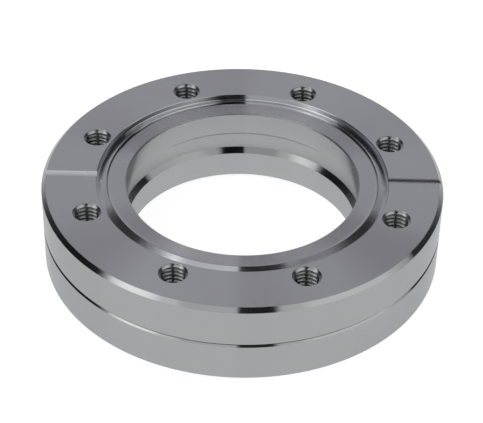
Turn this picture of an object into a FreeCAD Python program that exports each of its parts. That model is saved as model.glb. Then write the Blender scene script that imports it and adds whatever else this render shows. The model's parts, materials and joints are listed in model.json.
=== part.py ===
import FreeCAD, Part

import math
import os

import Sketcher

# Double-sided knife-edge vacuum flange of DN 63 size, turned from one ring of stainless steel.
# Each face has a sealing recess with a knife edge, two leak-check grooves and the mouths of
# eight holes that are tapped right through. The rim has a V groove at mid height, and the bore
# has a wide inner groove with bevelled sides that holds fittings inside the vacuum.
# The origin is the centre of the lower face, and the bore runs up along Z. Sizes are in
# millimetres and degrees.

SIZES = {
    "outer_diameter": 113.5,
    "thickness": 25.0,
    "bore_diameter": 65.8,
    "rim_chamfer": 1.2,
    "rim_groove_depth": 0.55,
    "recess_diameter": 82.5,
    "recess_edge_break": 0.15,
    "knife_inset": 2.75,
    "knife_setback": 0.65,
    "knife_slope": 20.0,
    "knife_height": 0.47,
    "knife_flank_radius": 1.4,
    "bore_edge_break": 0.4,
    "inner_groove_depth": 1.5,
    "inner_groove_setback": 8.0,
    "inner_groove_width": 7.7,
    "bolt_circle_diameter": 92.2,
    "bolt_count": 8,
    "tapping_diameter": 6.8,
    "hole_mouth_chamfer": 0.6,
    "leak_groove_width": 2.5,
    "leak_groove_depth": 0.8,
    "leak_groove_count": 2,
    "cutter_overrun": 1.0,
}

NODE_NAME = "flange_body"
FULL_TURN = 360.0
MATCH = 1e-4
SKETCH_ORIGIN = (-1, 1)
START = 1
END = 2
CENTRE = 3

OUTER_RADIUS = "Sizes.outer_diameter / 2"
BORE_RADIUS = "Sizes.bore_diameter / 2"
RECESS_RADIUS = "Sizes.recess_diameter / 2"
KNIFE_RADIUS = f"({RECESS_RADIUS} - Sizes.knife_inset)"
BOLT_CIRCLE_RADIUS = "Sizes.bolt_circle_diameter / 2"
TAPPING_RADIUS = "Sizes.tapping_diameter / 2"
MOUTH_RADIUS = f"({TAPPING_RADIUS} + Sizes.hole_mouth_chamfer)"
TOP = "Sizes.thickness"
MID_HEIGHT = "Sizes.thickness / 2"
OVERRUN = "Sizes.cutter_overrun"
KNIFE_HEIGHT = "Sizes.thickness - Sizes.knife_setback"
LAND_SETBACK = "(Sizes.knife_setback + Sizes.knife_height)"
LAND_HEIGHT = f"Sizes.thickness - {LAND_SETBACK}"
FLANK_RUN = "sqrt(Sizes.knife_height * (2 * Sizes.knife_flank_radius - Sizes.knife_height))"
FLANK_FOOT = f"({KNIFE_RADIUS} - {FLANK_RUN})"
SLOPE_DROP = "Sizes.knife_inset * tan(Sizes.knife_slope * 1 deg)"
LEAK_GROOVE_RADIUS = ("Sizes.leak_groove_width ^ 2 / (8 * Sizes.leak_groove_depth)"
                      " + Sizes.leak_groove_depth / 2")


def make_sheet(doc):
    sheet = doc.addObject("Spreadsheet::Sheet", "Sizes")
    for row, (name, value) in enumerate(SIZES.items(), start=1):
        sheet.set(f"A{row}", name)
        sheet.set(f"B{row}", str(value))
        sheet.setAlias(f"B{row}", name)
    doc.recompute()
    return sheet


def origin_plane(body, role):
    for item in body.Origin.OriginFeatures:
        if item.Role == role:
            return item
    raise ValueError(f"{role} is missing")


def attached_sketch(body, name, plane):
    sketch = body.newObject("Sketcher::SketchObject", name)
    sketch.AttachmentSupport = [(plane, "")]
    sketch.MapMode = "FlatFace"
    return sketch


def draw_outline(sketch, corners):
    """Closed outline whose corners are each placed from the sketch origin by two formulas. A
    third formula is the radius of a hollow arc that falls from that corner to the next."""
    points = []
    for corner in corners:
        x = float(sketch.evalExpression(corner[0]))
        y = float(sketch.evalExpression(corner[1]))
        points.append(FreeCAD.Vector(x, y, 0))
    count = len(points)
    bent = [len(corner) > 2 for corner in corners]
    for index in range(count):
        following = points[(index + 1) % count]
        if bent[index]:
            draw_arc(sketch, following, points[index], corners[index][2])
        else:
            sketch.addGeometry(Part.LineSegment(points[index], following), False)
    first_ends = [END if arc else START for arc in bent]
    last_ends = [START if arc else END for arc in bent]
    for index in range(count):
        following = (index + 1) % count
        sketch.addConstraint(Sketcher.Constraint(
            "Coincident", index, last_ends[index], following, first_ends[following]))
    for index, corner in enumerate(corners):
        place_point(sketch, index, first_ends[index], "DistanceX", points[index].x, corner[0])
        place_point(sketch, index, first_ends[index], "DistanceY", points[index].y, corner[1])


def draw_arc(sketch, low, high, radius):
    """Hollow arc that leaves its low end level and climbs to its high end."""
    size = float(sketch.evalExpression(radius))
    centre = FreeCAD.Vector(low.x, low.y + size, 0)
    circle = Part.Circle(centre, FreeCAD.Vector(0, 0, 1), size)
    to_low = math.atan2(low.y - centre.y, low.x - centre.x)
    to_high = math.atan2(high.y - centre.y, high.x - centre.x)
    arc = sketch.addGeometry(Part.ArcOfCircle(circle, to_low, to_high), False)
    bind_radius(sketch, arc, size, radius)


def bind_radius(sketch, item, value, formula):
    number = sketch.addConstraint(Sketcher.Constraint("Radius", item, value))
    sketch.setExpression(f"Constraints[{number}]", formula)


def place_point(sketch, item, point, kind, value, formula):
    """Sets how far the end of an edge or the centre of a circle lies from the sketch origin."""
    number = sketch.addConstraint(Sketcher.Constraint(kind, *SKETCH_ORIGIN, item, point, value))
    sketch.setExpression(f"Constraints[{number}]", formula)


def draw_axis(sketch, across):
    """Upright construction line, the axis that a profile is turned about."""
    x = float(sketch.evalExpression(across))
    top = float(sketch.evalExpression(TOP))
    ends = (FreeCAD.Vector(x, 0, 0), FreeCAD.Vector(x, top, 0))
    line = sketch.addGeometry(Part.LineSegment(*ends), True)
    sketch.addConstraint(Sketcher.Constraint("Vertical", line))
    place_point(sketch, line, START, "DistanceX", x, across)
    place_point(sketch, line, START, "DistanceY", 0, "0")
    length = sketch.addConstraint(Sketcher.Constraint("Distance", line, top))
    sketch.setExpression(f"Constraints[{length}]", TOP)


def draw_circle(sketch, up, radius):
    """Circle centred straight above the sketch origin."""
    height = float(sketch.evalExpression(up))
    size = float(sketch.evalExpression(radius))
    centre = FreeCAD.Vector(0, height, 0)
    circle = sketch.addGeometry(Part.Circle(centre, FreeCAD.Vector(0, 0, 1), size), False)
    place_point(sketch, circle, CENTRE, "DistanceX", 0, "0")
    place_point(sketch, circle, CENTRE, "DistanceY", height, up)
    bind_radius(sketch, circle, size, radius)


def finish_feature(body, feature):
    """Recomputes the part up to this feature and makes it the result of the body."""
    body.Tip = feature
    body.Document.recompute()
    return feature


def require_cut(feature, base):
    if feature.Shape.Volume >= base.Shape.Volume:
        raise ValueError(f"{feature.Label} removes nothing")
    return feature


def turned_ring(body):
    sketch = attached_sketch(body, "RingSection", origin_plane(body, "XZ_Plane"))
    draw_outline(sketch, [
        (BORE_RADIUS, "0"),
        (OUTER_RADIUS, "0"),
        (OUTER_RADIUS, TOP),
        (BORE_RADIUS, TOP),
    ])
    ring = body.newObject("PartDesign::Revolution", "Ring")
    ring.Profile = sketch
    ring.ReferenceAxis = (sketch, ["V_Axis"])
    ring.Angle = FULL_TURN
    return finish_feature(body, ring)


def turned_cut(body, name, corners):
    """Removes a profile, drawn in the section plane, all the way round the bore's axis."""
    base = body.Tip
    sketch = attached_sketch(body, f"{name}Section", origin_plane(body, "XZ_Plane"))
    draw_outline(sketch, corners)
    cut = body.newObject("PartDesign::Groove", name)
    cut.Profile = sketch
    cut.ReferenceAxis = (sketch, ["V_Axis"])
    cut.Angle = FULL_TURN
    return require_cut(finish_feature(body, cut), base)


def mid_plane(body):
    plane = body.newObject("PartDesign::Plane", "MidPlane")
    plane.AttachmentSupport = [(origin_plane(body, "XY_Plane"), "")]
    plane.MapMode = "FlatFace"
    plane.setExpression("AttachmentOffset.Base.z", MID_HEIGHT)
    body.Document.recompute()
    return plane


def sealing_recess(body):
    """The recess for the copper gasket. Its floor rises inward to the knife edge, whose inner
    side falls in a hollow curve to the land round the bore."""
    return turned_cut(body, "SealingRecess", [
        (RECESS_RADIUS, TOP),
        (RECESS_RADIUS, f"{KNIFE_HEIGHT} - {SLOPE_DROP}"),
        (KNIFE_RADIUS, KNIFE_HEIGHT, "Sizes.knife_flank_radius"),
        (FLANK_FOOT, LAND_HEIGHT),
        (f"{BORE_RADIUS} - {OVERRUN}", LAND_HEIGHT),
        (f"{BORE_RADIUS} - {OVERRUN}", TOP),
    ])


def inner_groove(body):
    """The wide groove in the bore, whose upper and lower sides are bevelled at 45 degrees."""
    upper_edge = f"{TOP} - Sizes.inner_groove_setback"
    lower_edge = f"{upper_edge} - Sizes.inner_groove_width"
    wall_radius = f"{BORE_RADIUS} + Sizes.inner_groove_depth"
    return turned_cut(body, "InnerGroove", [
        (f"{BORE_RADIUS} - {OVERRUN}", f"{lower_edge} - {OVERRUN}"),
        (wall_radius, f"{lower_edge} + Sizes.inner_groove_depth"),
        (wall_radius, f"{upper_edge} - Sizes.inner_groove_depth"),
        (f"{BORE_RADIUS} - {OVERRUN}", f"{upper_edge} + {OVERRUN}"),
    ])


def rim_groove(body):
    half_mouth = f"(Sizes.rim_groove_depth + {OVERRUN})"
    return turned_cut(body, "RimGroove", [
        (f"{OUTER_RADIUS} - Sizes.rim_groove_depth", MID_HEIGHT),
        (f"{OUTER_RADIUS} + {OVERRUN}", f"{MID_HEIGHT} - {half_mouth}"),
        (f"{OUTER_RADIUS} + {OVERRUN}", f"{MID_HEIGHT} + {half_mouth}"),
    ])


def mirrored_below(body, feature, plane):
    base = body.Tip
    mirrored = body.newObject("PartDesign::Mirrored", f"{feature.Name}Below")
    mirrored.Originals = [feature]
    mirrored.MirrorPlane = (plane, [""])
    return require_cut(finish_feature(body, mirrored), base)


def turned_edges(shape, radius, heights):
    """Names of the circular edges round the bore's axis with this radius at these heights."""
    names = []
    for number, edge in enumerate(shape.Edges, start=1):
        if not isinstance(edge.Curve, Part.Circle):
            continue
        centre = edge.Curve.Center
        on_axis = abs(centre.x) < MATCH and abs(centre.y) < MATCH
        same_radius = abs(edge.Curve.Radius - radius) < MATCH
        same_height = any(abs(centre.z - height) < MATCH for height in heights)
        if on_axis and same_radius and same_height:
            names.append(f"Edge{number}")
    if len(names) != len(heights):
        raise ValueError(f"{len(names)} edges found at radius {radius}")
    return names


def chamfered_edges(body, name, size, radius, height_from_face):
    """The same chamfer on a circular edge near the upper face and on its twin below."""
    base = body.Tip
    edge_radius = float(base.evalExpression(radius))
    depth = float(base.evalExpression(height_from_face))
    heights = [depth, float(base.evalExpression(TOP)) - depth]
    names = turned_edges(base.Shape, edge_radius, heights)
    chamfer = body.newObject("PartDesign::Chamfer", name)
    chamfer.Base = (base, names)
    chamfer.setExpression("Size", size)
    return finish_feature(body, chamfer)


def tapped_holes(body):
    """Through holes at tapping size with a small 90 degree countersink at each mouth."""
    base = body.Tip
    sketch = attached_sketch(body, "HoleSection", origin_plane(body, "XZ_Plane"))
    sketch.AttachmentOffset = FreeCAD.Placement(
        FreeCAD.Vector(0, 0, 0), FreeCAD.Rotation(FreeCAD.Vector(0, 1, 0), 1.0))
    sketch.setExpression("AttachmentOffset.Rotation.Angle", "180 deg / Sizes.bolt_count")
    draw_outline(sketch, [
        (BOLT_CIRCLE_RADIUS, "0"),
        (f"{BOLT_CIRCLE_RADIUS} + {MOUTH_RADIUS}", "0"),
        (f"{BOLT_CIRCLE_RADIUS} + {TAPPING_RADIUS}", "Sizes.hole_mouth_chamfer"),
        (f"{BOLT_CIRCLE_RADIUS} + {TAPPING_RADIUS}", f"{TOP} - Sizes.hole_mouth_chamfer"),
        (f"{BOLT_CIRCLE_RADIUS} + {MOUTH_RADIUS}", TOP),
        (BOLT_CIRCLE_RADIUS, TOP),
    ])
    draw_axis(sketch, BOLT_CIRCLE_RADIUS)
    hole = body.newObject("PartDesign::Groove", "TappedHole")
    hole.Profile = sketch
    hole.ReferenceAxis = (sketch, ["Axis0"])
    hole.Angle = FULL_TURN
    require_cut(finish_feature(body, hole), base)
    ring = body.newObject("PartDesign::PolarPattern", "BoltCircle")
    ring.Originals = [hole]
    ring.Axis = (origin_plane(body, "Z_Axis"), [""])
    ring.Angle = FULL_TURN
    ring.setExpression("Occurrences", "Sizes.bolt_count")
    return require_cut(finish_feature(body, ring), hole)


def leak_grooves(body, plane):
    """Round-bottomed grooves from the recess to the rim, which let a tracer gas reach the gasket."""
    base = body.Tip
    sketch = attached_sketch(body, "LeakGrooveSection", origin_plane(body, "YZ_Plane"))
    sketch.setExpression("AttachmentOffset.Base.z", f"{RECESS_RADIUS} - {OVERRUN}")
    draw_circle(sketch, f"{TOP} - Sizes.leak_groove_depth + {LEAK_GROOVE_RADIUS}",
                LEAK_GROOVE_RADIUS)
    groove = body.newObject("PartDesign::Pocket", "LeakGroove")
    groove.Profile = sketch
    groove.Reversed = True
    groove.setExpression("Length", f"{OUTER_RADIUS} - {RECESS_RADIUS} + 2 * {OVERRUN}")
    require_cut(finish_feature(body, groove), base)
    repeats = body.newObject("PartDesign::MultiTransform", "LeakGrooves")
    repeats.Originals = [groove]
    around = body.newObject("PartDesign::PolarPattern", "LeakGroovesAround")
    around.Axis = (origin_plane(body, "Z_Axis"), [""])
    around.Angle = FULL_TURN
    around.setExpression("Occurrences", "Sizes.leak_groove_count")
    below = body.newObject("PartDesign::Mirrored", "LeakGroovesBelow")
    below.MirrorPlane = (plane, [""])
    repeats.Transformations = [around, below]
    return require_cut(finish_feature(body, repeats), groove)


def make_flange(doc):
    body = doc.addObject("PartDesign::Body", "FlangeBody")
    body.Label = NODE_NAME
    turned_ring(body)
    plane = mid_plane(body)
    mirrored_below(body, sealing_recess(body), plane)
    inner_groove(body)
    rim_groove(body)
    chamfered_edges(body, "RimChamfers", "Sizes.rim_chamfer", OUTER_RADIUS, "0")
    chamfered_edges(body, "RecessEdgeBreaks", "Sizes.recess_edge_break", RECESS_RADIUS, "0")
    chamfered_edges(body, "BoreEdgeBreaks", "Sizes.bore_edge_break", BORE_RADIUS, LAND_SETBACK)
    tapped_holes(body)
    leak_grooves(body, plane)
    return body


def check_objects(doc):
    for item in doc.Objects:
        if "Invalid" in item.State or "Error" in item.State:
            raise ValueError(f"{item.Name} failed: {item.State}")


def write_part(body):
    shape = body.Shape
    if shape.isNull() or not shape.isValid() or len(shape.Solids) != 1:
        raise ValueError(f"{body.Label} is not one valid solid")
    os.makedirs("parts", exist_ok=True)
    shape.exportStep(os.path.join("parts", f"{body.Label}.step"))
    print(body.Label, "volume", round(shape.Volume, 1), "faces", len(shape.Faces))


document = FreeCAD.newDocument("VacuumFlange")
make_sheet(document)
flange = make_flange(document)
document.recompute()
check_objects(document)
write_part(flange)
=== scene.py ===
import json
import math

import bmesh
import bpy
from mathutils import Matrix, Vector


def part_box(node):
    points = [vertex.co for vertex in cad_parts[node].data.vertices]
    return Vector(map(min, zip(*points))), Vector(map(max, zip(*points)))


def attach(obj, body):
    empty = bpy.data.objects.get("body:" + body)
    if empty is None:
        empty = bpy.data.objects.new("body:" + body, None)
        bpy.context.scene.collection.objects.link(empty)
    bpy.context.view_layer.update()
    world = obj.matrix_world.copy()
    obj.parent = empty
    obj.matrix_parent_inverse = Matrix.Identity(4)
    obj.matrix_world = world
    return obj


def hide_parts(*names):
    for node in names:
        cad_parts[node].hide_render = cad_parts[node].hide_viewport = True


# Double-sided knife-edge vacuum flange lying on a white floor.
# The ring is turned anew from the sizes of the part's source, with a finer lathe than the
# solid's facets, and then cut by mills, countersinks and taps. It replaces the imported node.
# Lengths are in metres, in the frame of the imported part: the origin is the centre of the lower
# face and the bore runs up along Z.

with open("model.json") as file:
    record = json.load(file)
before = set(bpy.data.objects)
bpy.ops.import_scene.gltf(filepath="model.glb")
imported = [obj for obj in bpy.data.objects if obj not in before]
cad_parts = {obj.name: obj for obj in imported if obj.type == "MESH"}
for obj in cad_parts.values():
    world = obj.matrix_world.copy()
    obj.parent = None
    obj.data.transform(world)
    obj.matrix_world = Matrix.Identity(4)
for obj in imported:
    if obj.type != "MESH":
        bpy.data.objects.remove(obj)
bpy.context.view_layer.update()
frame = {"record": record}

NODE = "flange_body"
BODY = "root"
MM = 0.001

# Sizes read from the frame

mounts = {mount["name"]: mount for mount in frame["record"]["mounts"]}
highest_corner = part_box(NODE)[1]
OUTER_RADIUS = highest_corner.x
THICKNESS = highest_corner.z
BORE_RADIUS = mounts["bore"]["dims"]["r_mm"] * MM
BOLT_CIRCLE_RADIUS = mounts["bolts_top"]["dims"]["pcd_mm"] * MM / 2
BOLT_COUNT = mounts["bolts_top"]["dims"]["count"]
INNER_GROOVE_MIDDLE = mounts["inner_groove"]["pos_m"][2]

# Sizes of the section

RIM_CHAMFER = 1.2 * MM
RIM_GROOVE_DEPTH = 0.55 * MM
RIM_SLIT_WIDTH = 0.2 * MM
RIM_SLIT_DEPTH = 0.3 * MM
EDGE_BREAK = 0.08 * MM
RECESS_RADIUS = 41.25 * MM
RECESS_EDGE_BREAK = 0.15 * MM
RECESS_CORNER_RADIUS = 0.25 * MM
KNIFE_INSET = 2.75 * MM
KNIFE_RADIUS = RECESS_RADIUS - KNIFE_INSET
KNIFE_SETBACK = 0.65 * MM
KNIFE_SLOPE = math.radians(20)
KNIFE_HEIGHT = 0.47 * MM
KNIFE_FLANK_RADIUS = 1.4 * MM
KNIFE_FLANK_RUN = math.sqrt(KNIFE_HEIGHT * (2 * KNIFE_FLANK_RADIUS - KNIFE_HEIGHT))
KNIFE_FOOT_RADIUS = KNIFE_RADIUS - KNIFE_FLANK_RUN
LAND_SETBACK = KNIFE_SETBACK + KNIFE_HEIGHT
BORE_EDGE_BREAK = 0.4 * MM
INNER_GROOVE_DEPTH = 1.5 * MM
INNER_GROOVE_WIDTH = 7.7 * MM
LEAK_GROOVE_WIDTH = 2.5 * MM
LEAK_GROOVE_DEPTH = 0.8 * MM
LEAK_GROOVE_RADIUS = LEAK_GROOVE_WIDTH ** 2 / (8 * LEAK_GROOVE_DEPTH) + LEAK_GROOVE_DEPTH / 2

# Sizes of the tapped holes. The thread has the basic profile of a metric coarse thread, listed
# as shares of the pitch from one edge to the next and the radius at that edge.

HOLE_MOUTH_RADIUS = 4.0 * MM
THREAD_PITCH = 1.25 * MM
THREAD_MAJOR_RADIUS = 4.0 * MM
THREAD_MINOR_RADIUS = 3.324 * MM
ROOT_SHARE = 1 / 8
CREST_SHARE = 1 / 4
FLANK_SHARE = (1 - ROOT_SHARE - CREST_SHARE) / 2
THREAD_PROFILE = [
    (0, THREAD_MINOR_RADIUS),
    (CREST_SHARE, THREAD_MINOR_RADIUS),
    (FLANK_SHARE, THREAD_MAJOR_RADIUS),
    (ROOT_SHARE, THREAD_MAJOR_RADIUS),
]
TURNS_BELOW = 3
TURNS_ABOVE = 2

# Fineness of the meshes, and how far the cutters reach past what they cut

LATHE_STEPS = 360
FILLET_STEPS = 5
THREAD_STEPS = 40
MOUTH_STEPS = 80
ROD_STEPS = 160
MOST_CORNERS = 4
SMOOTH_ANGLE = math.radians(24)
OVERRUN = 0.6 * MM

# Finish of the steel, with painted light and shade. Roughness is across the tool lines. A feed
# share flattens or deepens the lines, and a painted light level scales a region's colour beside
# the flat face, painted light above 1 and painted shade below 1. A lean is the share of the normal
# that points away from the bore's axis.

STEEL_COLOUR = (0.354, 0.362, 0.374)
TONE_CHANGE = 0.04
GLOSS_CHANGE = 0.06
WEAR_SCALE = 90
WEAR_DETAIL = 4
WEAR_AVERAGE = 0.5
EDGE_TINT = 0.85
ALONG_THE_TANGENT = 0.25
TURNED_ROUGHNESS = 0.2
FINE_ROUGHNESS = 0.13
BROKEN_EDGE_ROUGHNESS = 0.6
CUT_ROUGHNESS = 0.27
TOOL_FEED = 0.2 * MM
TOOL_NOSE_RADIUS = 0.4 * MM
LINE_MIDDLE = 0.5
LAND_FEED_SHARE = 2.0
FINE_FEED_SHARE = 0.35
FINE_LEANS = (0.25, 0.85)
LEAN_SOFTNESS = 0.1
UPRIGHT_LEAN = 0.9
FLAT_LEAN = 0.1
LAND_REACH = 0.6 * MM
# Painted light and shade: each level brightens or darkens a region's steel colour beside the flat
# face, in place of the light it gets.
LAND_PAINTED_LIGHT = 1.07
RECESS_PAINTED_LIGHT = 1.62
BORE_PAINTED_LIGHT = 1.1
BEVEL_PAINTED_SHADE = 0.8
UNDERCUT_PAINTED_LIGHT = 1.9
BROKEN_EDGE_PAINTED_LIGHT = 1.5
MILLED_PAINTED_LIGHT = 1.45
TAPPED_PAINTED_LIGHT = 1.15

# The studio round the part. Sideways is a direction's share along X and backward its share
# along Y, and both end below BEYOND. The turn is in degrees and runs over the part, from 0 at
# the front horizon by 90 at the zenith to 180 at the back horizon. Soft boxes are (sideways
# span, turn span, brightness) and screens are (sideways span, backward span, brightness). Each
# covers what comes before it, and its edges are soft.

FLOOR_SIZE = 8.0
FLOOR_COLOUR = (0.35, 0.35, 0.35, 1)
FLOOR_GLOW = 0.86
WHITE = (1, 1, 1, 1)
BACKDROP = 0.745
BACKDROP_COLOUR = (1.0, 0.97, 1.05, 1)
LAMP_LEVEL = 0.99
LAMP_COLOUR = (1.0, 1.0, 0.98, 1)
SHARE_SOFTNESS = 0.02
TURN_SOFTNESS = 3.0
BEYOND = 1.1
SOFT_BOXES = [
    # over the left half, from front to back
    ((-0.4, -0.01), (-10, 52), 1.05),
    ((-0.4, -0.01), (52, 68), 0.7),
    ((-0.4, -0.01), (68, 93), 1.0),
    ((-0.4, -0.01), (93, 112), 0.58),
    # at the far left
    ((-BEYOND, -0.4), (34, 94), 1.2),
    ((-0.8, -0.56), (46, 78), 2.1),
    ((-0.46, -0.35), (86, 98), 2.4),
    # at the right
    ((0.265, BEYOND), (38, 94), 1.0),
    ((0.265, BEYOND), (94, 112), 0.28),
    ((0.45, BEYOND), (42, 80), 1.25),
    ((0.74, 0.93), (66, 120), 1.2),
    # the dark gap between them
    ((-0.01, 0.265), (16, 32), 0.5),
    ((-0.01, 0.265), (32, 112), 0.01),
]
SCREENS = [
    # behind the part at the left
    ((-BEYOND, -0.38), (0.24, 0.6), 0.02),
    ((-0.38, -0.3), (0.24, 0.57), 0.25),
    ((-0.32, -0.18), (0.58, 0.7), 0.45),
    ((-0.62, -0.4), (0.6, BEYOND), 0.42),
    ((-BEYOND, -0.62), (0.1, BEYOND), 0.04),
    ((-BEYOND, -0.7), (-0.08, BEYOND), 0.04),
    ((-BEYOND, -0.83), (-0.25, BEYOND), 0.02),
    # behind the part at the right
    ((0.265, 0.36), (0.12, 0.66), 0.06),
    ((0.18, 0.3), (0.57, 0.69), 0.25),
    ((0.36, 0.5), (0.12, 0.38), 0.32),
    ((0.36, 0.7), (0.38, 0.62), 0.03),
    ((0.5, 0.7), (0.16, 0.62), 0.02),
    ((0.7, BEYOND), (0.2, 0.62), 0.01),
    ((0.4, 0.58), (0.62, BEYOND), 0.38),
    ((0.58, BEYOND), (0.24, BEYOND), 0.05),
    ((0.93, BEYOND), (-0.14, BEYOND), 0.06),
]

# Camera, worked out from the photograph's outlines

PHOTO_WIDTH = 483
PHOTO_FOCAL_PIXELS = 1685.8
SENSOR_WIDTH_MM = 36.0
CAMERA_ELEVATION = math.radians(38.173)
CAMERA_AZIMUTH = math.radians(0.224)
CAMERA_ROLL = math.radians(1.186)
CAMERA_DISTANCE = 487.445 * MM
CAMERA_TARGET = Vector((-0.12, 2.164, 10.944)) * MM
NEAR_CLIP = 10 * MM


def arc(centre, radius, start, end, steps):
    """Points of a circular arc in the section plane, from one angle in degrees to another."""
    points = []
    for step in range(steps + 1):
        angle = math.radians(start + (end - start) * step / steps)
        points.append((centre[0] + radius * math.cos(angle), centre[1] + radius * math.sin(angle)))
    return points


def face_profile():
    """Section of one face as (radius, depth below the face), from the rim inward to the bore."""
    corner_depth = KNIFE_SETBACK + (RECESS_RADIUS - KNIFE_RADIUS) * math.tan(KNIFE_SLOPE)
    corner_turn = math.pi / 2 + KNIFE_SLOPE
    reach = RECESS_CORNER_RADIUS * math.tan((math.pi - corner_turn) / 2)
    corner_centre = (RECESS_RADIUS - RECESS_CORNER_RADIUS, corner_depth - reach)
    flank_centre = (KNIFE_FOOT_RADIUS, LAND_SETBACK - KNIFE_FLANK_RADIUS)
    flank_start = math.degrees(math.asin(1 - KNIFE_HEIGHT / KNIFE_FLANK_RADIUS))
    rim_to_recess = [
        (OUTER_RADIUS, RIM_CHAMFER + EDGE_BREAK),
        (OUTER_RADIUS - EDGE_BREAK / 2, RIM_CHAMFER - EDGE_BREAK / 2),
        (OUTER_RADIUS - RIM_CHAMFER + EDGE_BREAK / 2, EDGE_BREAK / 2),
        (OUTER_RADIUS - RIM_CHAMFER - EDGE_BREAK, 0),
        (RECESS_RADIUS + RECESS_EDGE_BREAK, 0),
        (RECESS_RADIUS, RECESS_EDGE_BREAK),
    ]
    corner = arc(corner_centre, RECESS_CORNER_RADIUS, 0, 90 - math.degrees(KNIFE_SLOPE),
                 FILLET_STEPS)
    flank = arc(flank_centre, KNIFE_FLANK_RADIUS, flank_start, 90, FILLET_STEPS)
    bore_edge = [
        (BORE_RADIUS + BORE_EDGE_BREAK, LAND_SETBACK),
        (BORE_RADIUS, LAND_SETBACK + BORE_EDGE_BREAK),
    ]
    return rim_to_recess + corner + flank + bore_edge


def ring_profile():
    """Closed section of the whole ring as (radius, height)."""
    upper = [(radius, THICKNESS - depth) for radius, depth in face_profile()]
    lower = [(radius, depth) for radius, depth in reversed(face_profile())]
    half_width = INNER_GROOVE_WIDTH / 2
    half_wall = half_width - INNER_GROOVE_DEPTH
    wall_radius = BORE_RADIUS + INNER_GROOVE_DEPTH
    inner_groove = [
        (BORE_RADIUS, INNER_GROOVE_MIDDLE + half_width),
        (wall_radius, INNER_GROOVE_MIDDLE + half_wall),
        (wall_radius, INNER_GROOVE_MIDDLE - half_wall),
        (BORE_RADIUS, INNER_GROOVE_MIDDLE - half_width),
    ]
    middle = THICKNESS / 2
    half_slit = RIM_SLIT_WIDTH / 2
    slit_radius = OUTER_RADIUS - RIM_GROOVE_DEPTH + half_slit
    slit_bottom = slit_radius - RIM_SLIT_DEPTH
    rim_groove = [
        (OUTER_RADIUS, middle - RIM_GROOVE_DEPTH),
        (slit_radius, middle - half_slit),
        (slit_bottom, middle - half_slit),
        (slit_bottom, middle + half_slit),
        (slit_radius, middle + half_slit),
        (OUTER_RADIUS, middle + RIM_GROOVE_DEPTH),
    ]
    return upper + inner_groove + lower + rim_groove


def new_object(name, mesh_source):
    """Object with the mesh of a bmesh, which is freed."""
    mesh = bpy.data.meshes.new(name)
    mesh_source.to_mesh(mesh)
    mesh_source.free()
    made = bpy.data.objects.new(name, mesh)
    bpy.context.scene.collection.objects.link(made)
    return made


def lathe(name, profile, steps):
    """Turns a closed section round the Z axis into a closed mesh."""
    bm = bmesh.new()
    rings = []
    for step in range(steps):
        turn = math.tau * step / steps
        ring = [bm.verts.new((r * math.cos(turn), r * math.sin(turn), z)) for r, z in profile]
        rings.append(ring)
    count = len(profile)
    for step in range(steps):
        here = rings[step]
        there = rings[(step + 1) % steps]
        for index in range(count):
            following = (index + 1) % count
            bm.faces.new((here[index], here[following], there[following], there[index]))
    bmesh.ops.recalc_face_normals(bm, faces=bm.faces)
    return new_object(name, bm)


def hole_centres():
    """Centres of the tapped holes. The first lies half a space past +X."""
    centres = []
    for index in range(BOLT_COUNT):
        turn = math.tau * (index + 1 / 2) / BOLT_COUNT
        centres.append(Vector((math.cos(turn), math.sin(turn), 0)) * BOLT_CIRCLE_RADIUS)
    return centres


def thread_rows():
    """Heights and radii of the thread's edges along one hole, a little past both faces."""
    rows = []
    height = -TURNS_BELOW * THREAD_PITCH
    while height < THICKNESS + TURNS_ABOVE * THREAD_PITCH:
        edge = height
        for share, radius in THREAD_PROFILE:
            edge += share * THREAD_PITCH
            rows.append((edge, radius))
        height += THREAD_PITCH
    return rows


def add_tap(bm, centre):
    """Helical body with the shape of the tap, standing in one hole, open at both ends."""
    rows = thread_rows()
    columns = []
    for step in range(THREAD_STEPS):
        share = step / THREAD_STEPS
        turn = math.tau * share
        column = []
        for height, radius in rows:
            place = (centre.x + radius * math.cos(turn),
                     centre.y + radius * math.sin(turn),
                     height + share * THREAD_PITCH)
            column.append(bm.verts.new(place))
        columns.append(column)
    for step in range(THREAD_STEPS):
        here = columns[step]
        there = columns[(step + 1) % THREAD_STEPS]
        closes_turn = step + 1 == THREAD_STEPS
        shift = len(THREAD_PROFILE) if closes_turn else 0
        for index in range(len(rows) - shift - 1):
            bm.faces.new((here[index], there[index + shift],
                          there[index + shift + 1], here[index + 1]))


def thread_cutter():
    """All the taps in one mesh, each closed at both ends."""
    bm = bmesh.new()
    for centre in hole_centres():
        add_tap(bm, centre)
    bmesh.ops.holes_fill(bm, edges=[edge for edge in bm.edges if edge.is_boundary])
    ends = [face for face in bm.faces if len(face.verts) > MOST_CORNERS]
    bmesh.ops.triangulate(bm, faces=ends)
    bmesh.ops.recalc_face_normals(bm, faces=bm.faces)
    return new_object("thread_cutter", bm)


def add_cone(bm, centre, direction, height):
    """A 90 degree countersink at a hole's mouth, from past the face down to the thread's crest."""
    depth = HOLE_MOUTH_RADIUS - THREAD_MINOR_RADIUS + EDGE_BREAK
    matrix = Matrix.Translation((centre.x, centre.y, height + direction * (OVERRUN - depth) / 2))
    wide = HOLE_MOUTH_RADIUS + OVERRUN
    narrow = HOLE_MOUTH_RADIUS - depth
    below = narrow if direction > 0 else wide
    above = wide if direction > 0 else narrow
    bmesh.ops.create_cone(bm, cap_ends=True, segments=MOUTH_STEPS, radius1=below, radius2=above,
                          depth=depth + OVERRUN, matrix=matrix)


def mouth_cutter():
    """The countersinks of all the holes, at both faces."""
    bm = bmesh.new()
    for centre in hole_centres():
        add_cone(bm, centre, 1, THICKNESS)
        add_cone(bm, centre, -1, 0)
    return new_object("mouth_cutter", bm)


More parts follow.
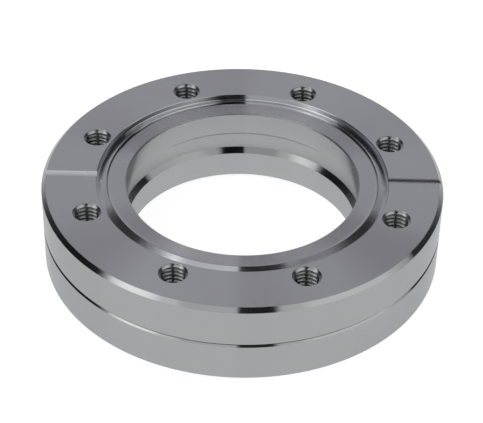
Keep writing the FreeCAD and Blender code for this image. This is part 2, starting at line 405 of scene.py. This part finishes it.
def add_rod(bm, centre, radius, length):
    """A round cutter that lies along X."""
    matrix = Matrix.Translation(centre) @ Matrix.Rotation(math.pi / 2, 4, "Y")
    bmesh.ops.create_cone(bm, cap_ends=True, segments=ROD_STEPS, radius1=radius, radius2=radius,
                          depth=length, matrix=matrix)


def leak_groove_cutter():
    """Rods for the leak-check grooves at +X and -X, on both faces."""
    bm = bmesh.new()
    rise = LEAK_GROOVE_RADIUS - LEAK_GROOVE_DEPTH
    middle = (RECESS_RADIUS + OUTER_RADIUS) / 2
    length = OUTER_RADIUS - RECESS_RADIUS + 2 * OVERRUN
    for side in (-1, 1):
        for height in (THICKNESS + rise, -rise):
            add_rod(bm, Vector((side * middle, 0, height)), LEAK_GROOVE_RADIUS, length)
    return new_object("leak_groove_cutter", bm)


def cut_away(target, cutter):
    """Removes the cutter's space from the target for good. The cut keeps the cutter's material."""
    modifier = target.modifiers.new("cut", "BOOLEAN")
    modifier.operation = "DIFFERENCE"
    modifier.solver = "EXACT"
    modifier.material_mode = "TRANSFER"
    modifier.object = cutter
    graph = bpy.context.evaluated_depsgraph_get()
    result = bpy.data.meshes.new_from_object(target.evaluated_get(graph))
    target.modifiers.clear()
    target.data = result
    bpy.data.objects.remove(cutter)


class Nodes:
    """Short ways to add and join shader nodes in one tree. A mask is 1 inside and 0 outside."""

    # The Mix node's first input to blend, and its output, for each kind of value
    MIX_SOCKETS = {"FLOAT": (2, 0), "RGBA": (6, 2)}

    def __init__(self, tree):
        self.tree = tree
        self.tree.nodes.clear()

    def add(self, kind, **settings):
        node = self.tree.nodes.new(kind)
        for name, value in settings.items():
            setattr(node, name, value)
        return node

    def join(self, source, target):
        self.tree.links.new(source, target)

    def feed(self, socket, value):
        """Joins a socket to the input, or sets the input to a plain value."""
        if isinstance(value, bpy.types.NodeSocket):
            self.join(value, socket)
        else:
            socket.default_value = value

    def math(self, operation, *values, clamp=False):
        node = self.add("ShaderNodeMath", operation=operation, use_clamp=clamp)
        for index, value in enumerate(values):
            self.feed(node.inputs[index], value)
        return node.outputs[0]

    def vector(self, operation, *values):
        node = self.add("ShaderNodeVectorMath", operation=operation)
        for index, value in enumerate(values):
            self.feed(node.inputs[index], value)
        return node.outputs["Value" if operation == "DOT_PRODUCT" else "Vector"]

    def scale(self, value, factor):
        node = self.add("ShaderNodeVectorMath", operation="SCALE")
        self.feed(node.inputs[0], value)
        self.feed(node.inputs["Scale"], factor)
        return node.outputs["Vector"]

    def combine(self, x, y, z):
        node = self.add("ShaderNodeCombineXYZ")
        for index, value in enumerate((x, y, z)):
            self.feed(node.inputs[index], value)
        return node.outputs[0]

    def split(self, value):
        node = self.add("ShaderNodeSeparateXYZ")
        self.join(value, node.inputs[0])
        return node.outputs

    def blend(self, factor, low, high, kind="FLOAT"):
        """The low value where the factor is 0 and the high one where it is 1."""
        first, output = self.MIX_SOCKETS[kind]
        node = self.add("ShaderNodeMix", data_type=kind)
        self.feed(node.inputs[0], factor)
        self.feed(node.inputs[first], low)
        self.feed(node.inputs[first + 1], high)
        return node.outputs[output]

    def both(self, first, second):
        """Mask of what two masks share."""
        return self.math("MULTIPLY", first, second)

    def outside(self, mask):
        return self.math("SUBTRACT", 1.0, mask)

    def step(self, value, edge, soft, before, after):
        """Changes from one number to another where the value passes the edge."""
        node = self.add("ShaderNodeMapRange", interpolation_type="SMOOTHSTEP")
        self.feed(node.inputs["Value"], value)
        node.inputs["From Min"].default_value = edge - soft / 2
        node.inputs["From Max"].default_value = edge + soft / 2
        node.inputs["To Min"].default_value = before
        node.inputs["To Max"].default_value = after
        return node.outputs[0]

    def span(self, value, low, high, soft):
        """Mask of the values between low and high, with soft edges of that width."""
        return self.both(self.step(value, low, soft, 0, 1), self.step(value, high, soft, 1, 0))

    def send(self, shader, kind="ShaderNodeOutputMaterial"):
        """Sends a shader to the tree's output."""
        self.join(shader.outputs[0], self.add(kind).inputs[0])


def new_material(name):
    material = bpy.data.materials.new(name)
    material.use_nodes = True
    return material, Nodes(material.node_tree)


def place_and_normal(nodes):
    place = nodes.add("ShaderNodeTexCoord").outputs["Object"]
    normal = nodes.add("ShaderNodeNewGeometry").outputs["Normal"]
    return place, normal


def steel_shader(nodes, roughness, tangent, normal, place, brightness):
    """Steel with a slow change of tone and gloss, rough across the tangent's lines, its colour
    scaled by brightness, a painted light and shade level.
    """
    wear = nodes.add("ShaderNodeTexNoise")
    nodes.join(place, wear.inputs["Vector"])
    wear.inputs["Scale"].default_value = WEAR_SCALE
    wear.inputs["Detail"].default_value = WEAR_DETAIL
    dark = [channel * (1 - TONE_CHANGE) for channel in STEEL_COLOUR] + [1]
    pale = [channel * (1 + TONE_CHANGE) for channel in STEEL_COLOUR] + [1]
    tone = nodes.blend(wear.outputs["Fac"], dark, pale, "RGBA")
    uneven = nodes.math("MULTIPLY", GLOSS_CHANGE,
                        nodes.math("SUBTRACT", wear.outputs["Fac"], WEAR_AVERAGE))
    shader = nodes.add("ShaderNodeBsdfPrincipled")
    shader.inputs["Metallic"].default_value = 1
    shader.inputs["Specular Tint"].default_value = (EDGE_TINT, EDGE_TINT, EDGE_TINT, 1)
    shader.inputs["Anisotropic"].default_value = 1
    shader.inputs["Anisotropic Rotation"].default_value = ALONG_THE_TANGENT
    # Painted light and shade: brightness scales the steel's colour.
    nodes.join(nodes.scale(tone, brightness), shader.inputs["Base Color"])
    nodes.join(nodes.math("ADD", uneven, roughness), shader.inputs["Roughness"])
    nodes.join(tangent, shader.inputs["Tangent"])
    nodes.join(normal, shader.inputs["Normal"])
    nodes.send(shader)


def turned_regions(nodes, radius, height, lean, upward):
    """Masks of the regions of the turned ring that have a finish and painted light and shade of
    their own, by name.
    """
    half = THICKNESS / 2
    from_middle = nodes.math("ABSOLUTE", nodes.math("SUBTRACT", height, half))
    steepness = nodes.math("ABSOLUTE", lean)
    near_bore = nodes.math("LESS_THAN", radius, KNIFE_FOOT_RADIUS)
    near_land = nodes.math("GREATER_THAN", from_middle, half - LAND_SETBACK - LAND_REACH)
    below_face = nodes.math("LESS_THAN", from_middle, half - RECESS_EDGE_BREAK)
    facing_up = nodes.math("GREATER_THAN", upward, 0.0)
    leaning = nodes.span(steepness, *FINE_LEANS, LEAN_SOFTNESS)
    edge_break = nodes.both(leaning, nodes.both(near_bore, near_land))
    recess = nodes.both(below_face, nodes.span(radius, KNIFE_RADIUS,
                                               RECESS_RADIUS + RECESS_EDGE_BREAK, EDGE_BREAK))
    fine = nodes.both(nodes.math("MAXIMUM", leaning, recess), nodes.outside(edge_break))
    return {
        "land": nodes.both(near_bore, nodes.math("LESS_THAN", steepness, FLAT_LEAN)),
        "recess": recess,
        "bore_wall": nodes.both(near_bore, nodes.math("LESS_THAN", lean, -UPRIGHT_LEAN)),
        "bevel": nodes.both(near_bore, fine),
        "edge_break": edge_break,
        "fine": fine,
        "facing_up": facing_up,
        "undercut": nodes.both(near_bore, nodes.outside(facing_up)),
    }


def turned_painted_light(nodes, regions):
    """Painted light and shade: how much brighter or darker each region of the turned ring is
    painted beside the flat face.
    """
    # Painted light on the bevels that face down, painted shade on those that face up.
    bevel_painted_light_and_shade = nodes.blend(regions["facing_up"], UNDERCUT_PAINTED_LIGHT, BEVEL_PAINTED_SHADE)
    levels = {
        "land": LAND_PAINTED_LIGHT,
        "recess": RECESS_PAINTED_LIGHT,
        "bore_wall": BORE_PAINTED_LIGHT,
        "bevel": bevel_painted_light_and_shade,
        "edge_break": BROKEN_EDGE_PAINTED_LIGHT,
    }
    brightness = 1.0
    for region, level in levels.items():
        brightness = nodes.blend(regions[region], brightness, level)
    return brightness


def tool_line_slope(nodes, run, regions):
    """Slope across the round-bottomed line that each turn of the tool leaves."""
    in_line = nodes.math("SUBTRACT", nodes.math("FRACT", nodes.math("DIVIDE", run, TOOL_FEED)),
                         LINE_MIDDLE)
    fine_share = nodes.blend(regions["undercut"], FINE_FEED_SHARE, 0.0)
    feed_share = nodes.blend(regions["fine"], nodes.blend(regions["land"], 1.0, LAND_FEED_SHARE),
                             fine_share)
    return nodes.math("MULTIPLY", in_line,
                      nodes.math("MULTIPLY", feed_share, TOOL_FEED / TOOL_NOSE_RADIUS))


def turned_steel():
    """Turned stainless steel: the tool's feed leaves a fine round-bottomed line each turn."""
    material, nodes = new_material("turned_stainless_steel")
    place, normal = place_and_normal(nodes)
    x, y, height = nodes.split(place)
    radius = nodes.math("SQRT", nodes.math("ADD", nodes.math("MULTIPLY", x, x),
                                           nodes.math("MULTIPLY", y, y)))
    around = nodes.vector("NORMALIZE", nodes.combine(nodes.math("MULTIPLY", y, -1.0), x, 0.0))
    outward = nodes.vector("CROSS_PRODUCT", around, (0, 0, 1))
    across = nodes.vector("CROSS_PRODUCT", normal, around)
    lean = nodes.vector("DOT_PRODUCT", normal, outward)
    upward = nodes.split(normal)[2]
    regions = turned_regions(nodes, radius, height, lean, upward)
    run = nodes.math("SUBTRACT", nodes.math("MULTIPLY", radius, upward),
                     nodes.math("MULTIPLY", height, lean))
    tilt = nodes.scale(across, tool_line_slope(nodes, run, regions))
    lined = nodes.vector("NORMALIZE", nodes.vector("ADD", normal, tilt))
    roughness = nodes.blend(regions["fine"], TURNED_ROUGHNESS, FINE_ROUGHNESS)
    roughness = nodes.blend(regions["edge_break"], roughness, BROKEN_EDGE_ROUGHNESS)
    # The ring's colour carries each region's painted light and shade.
    steel_shader(nodes, roughness, around, lined, place, turned_painted_light(nodes, regions))
    return material


def tapped_steel():
    """The threads and their mouths: tool lines run round each hole's own axis."""
    material, nodes = new_material("tapped_stainless_steel")
    place, normal = place_and_normal(nodes)
    around = nodes.vector("NORMALIZE", nodes.vector("CROSS_PRODUCT", (0, 0, 1), normal))
    # The threads' colour is brightened with painted light.
    steel_shader(nodes, CUT_ROUGHNESS, around, normal, place, TAPPED_PAINTED_LIGHT)
    return material


def milled_steel():
    """The leak-check grooves: the cutter's lines run along them."""
    material, nodes = new_material("milled_stainless_steel")
    place, normal = place_and_normal(nodes)
    along = nodes.combine(1.0, 0.0, 0.0)
    # The grooves' colour is brightened with painted light.
    steel_shader(nodes, CUT_ROUGHNESS, along, normal, place, MILLED_PAINTED_LIGHT)
    return material


def make_ring():
    """The turned ring with its grooves, mouths and threads cut into it."""
    ring = lathe("flange_ring", ring_profile(), LATHE_STEPS)
    ring.data.materials.append(turned_steel())
    tapped = tapped_steel()
    cuts = [(leak_groove_cutter(), milled_steel()), (mouth_cutter(), tapped),
            (thread_cutter(), tapped)]
    for cutter, material in cuts:
        cutter.data.materials.append(material)
        cut_away(ring, cutter)
    mesh = ring.data
    mesh.polygons.foreach_set("use_smooth", [True] * len(mesh.polygons))
    mesh.set_sharp_from_angle(angle=SMOOTH_ANGLE)
    even = ring.modifiers.new("even_shading", "WEIGHTED_NORMAL")
    even.keep_sharp = True
    return ring


def shown_directly(nodes):
    """1 for rays that show the floor itself: seen by the camera, mirrored or refracted."""
    rays = nodes.add("ShaderNodeLightPath").outputs
    seen = nodes.math("ADD", rays["Is Camera Ray"], rays["Is Glossy Ray"])
    return nodes.math("ADD", seen, rays["Is Transmission Ray"], clamp=True)


def make_floor():
    """Plain floor that keeps the ring's shadow and glows white where it is shown directly."""
    bm = bmesh.new()
    bmesh.ops.create_grid(bm, x_segments=1, y_segments=1, size=FLOOR_SIZE / 2)
    floor = new_object("floor", bm)
    material, nodes = new_material("floor_white")
    diffuse = nodes.add("ShaderNodeBsdfDiffuse")
    diffuse.inputs["Color"].default_value = FLOOR_COLOUR
    glow = nodes.add("ShaderNodeEmission")
    nodes.feed(glow.inputs["Strength"], nodes.math("MULTIPLY", shown_directly(nodes), FLOOR_GLOW))
    lit = nodes.add("ShaderNodeAddShader")
    nodes.join(diffuse.outputs[0], lit.inputs[0])
    nodes.join(glow.outputs[0], lit.inputs[1])
    nodes.send(lit)
    floor.data.materials.append(material)


def make_studio():
    """The light round the part: a pale backdrop with soft boxes and dark screens, by direction.

    The camera sees plain white in its place.
    """
    world = bpy.data.worlds.new("studio")
    bpy.context.scene.world = world
    world.use_nodes = True
    nodes = Nodes(world.node_tree)
    x, y, z = nodes.split(nodes.add("ShaderNodeTexCoord").outputs["Generated"])
    turn = nodes.math("DEGREES", nodes.math("ARCTAN2", z, nodes.math("MULTIPLY", y, -1.0)))
    light = BACKDROP
    for coordinate, softness, panels in ((turn, TURN_SOFTNESS, SOFT_BOXES),
                                         (y, SHARE_SOFTNESS, SCREENS)):
        for sideways, limits, brightness in panels:
            inside = nodes.both(nodes.span(x, *sideways, SHARE_SOFTNESS),
                                nodes.span(coordinate, *limits, softness))
            light = nodes.blend(inside, light, brightness)
    is_lamp = nodes.math("GREATER_THAN", light, LAMP_LEVEL)
    studio = nodes.add("ShaderNodeBackground")
    nodes.join(nodes.blend(is_lamp, BACKDROP_COLOUR, LAMP_COLOUR, "RGBA"), studio.inputs["Color"])
    nodes.join(light, studio.inputs["Strength"])
    white = nodes.add("ShaderNodeBackground")
    white.inputs["Color"].default_value = WHITE
    shown = nodes.add("ShaderNodeMixShader")
    nodes.join(nodes.add("ShaderNodeLightPath").outputs["Is Camera Ray"], shown.inputs[0])
    nodes.join(studio.outputs[0], shown.inputs[1])
    nodes.join(white.outputs[0], shown.inputs[2])
    nodes.send(shown, "ShaderNodeOutputWorld")


def make_camera():
    """Camera that looks at its target from the photograph's angle, with the photograph's roll."""
    back = Vector((math.sin(CAMERA_AZIMUTH) * math.cos(CAMERA_ELEVATION),
                   -math.cos(CAMERA_AZIMUTH) * math.cos(CAMERA_ELEVATION),
                   math.sin(CAMERA_ELEVATION)))
    right = Vector((math.cos(CAMERA_AZIMUTH), math.sin(CAMERA_AZIMUTH), 0))
    up = back.cross(right)
    rolled_right = math.cos(CAMERA_ROLL) * right + math.sin(CAMERA_ROLL) * up
    rolled_up = math.cos(CAMERA_ROLL) * up - math.sin(CAMERA_ROLL) * right
    data = bpy.data.cameras.new("camera")
    data.sensor_width = SENSOR_WIDTH_MM
    data.lens = PHOTO_FOCAL_PIXELS / PHOTO_WIDTH * SENSOR_WIDTH_MM
    data.clip_start = NEAR_CLIP
    camera = bpy.data.objects.new("camera", data)
    bpy.context.scene.collection.objects.link(camera)
    turned = Matrix((rolled_right, rolled_up, back)).transposed().to_4x4()
    camera.matrix_world = Matrix.Translation(CAMERA_TARGET + back * CAMERA_DISTANCE) @ turned
    bpy.context.scene.camera = camera


flange_ring = make_ring()
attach(flange_ring, BODY)
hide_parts(NODE)

make_floor()
make_studio()
make_camera()
bpy.context.scene.view_settings.view_transform = "Standard"
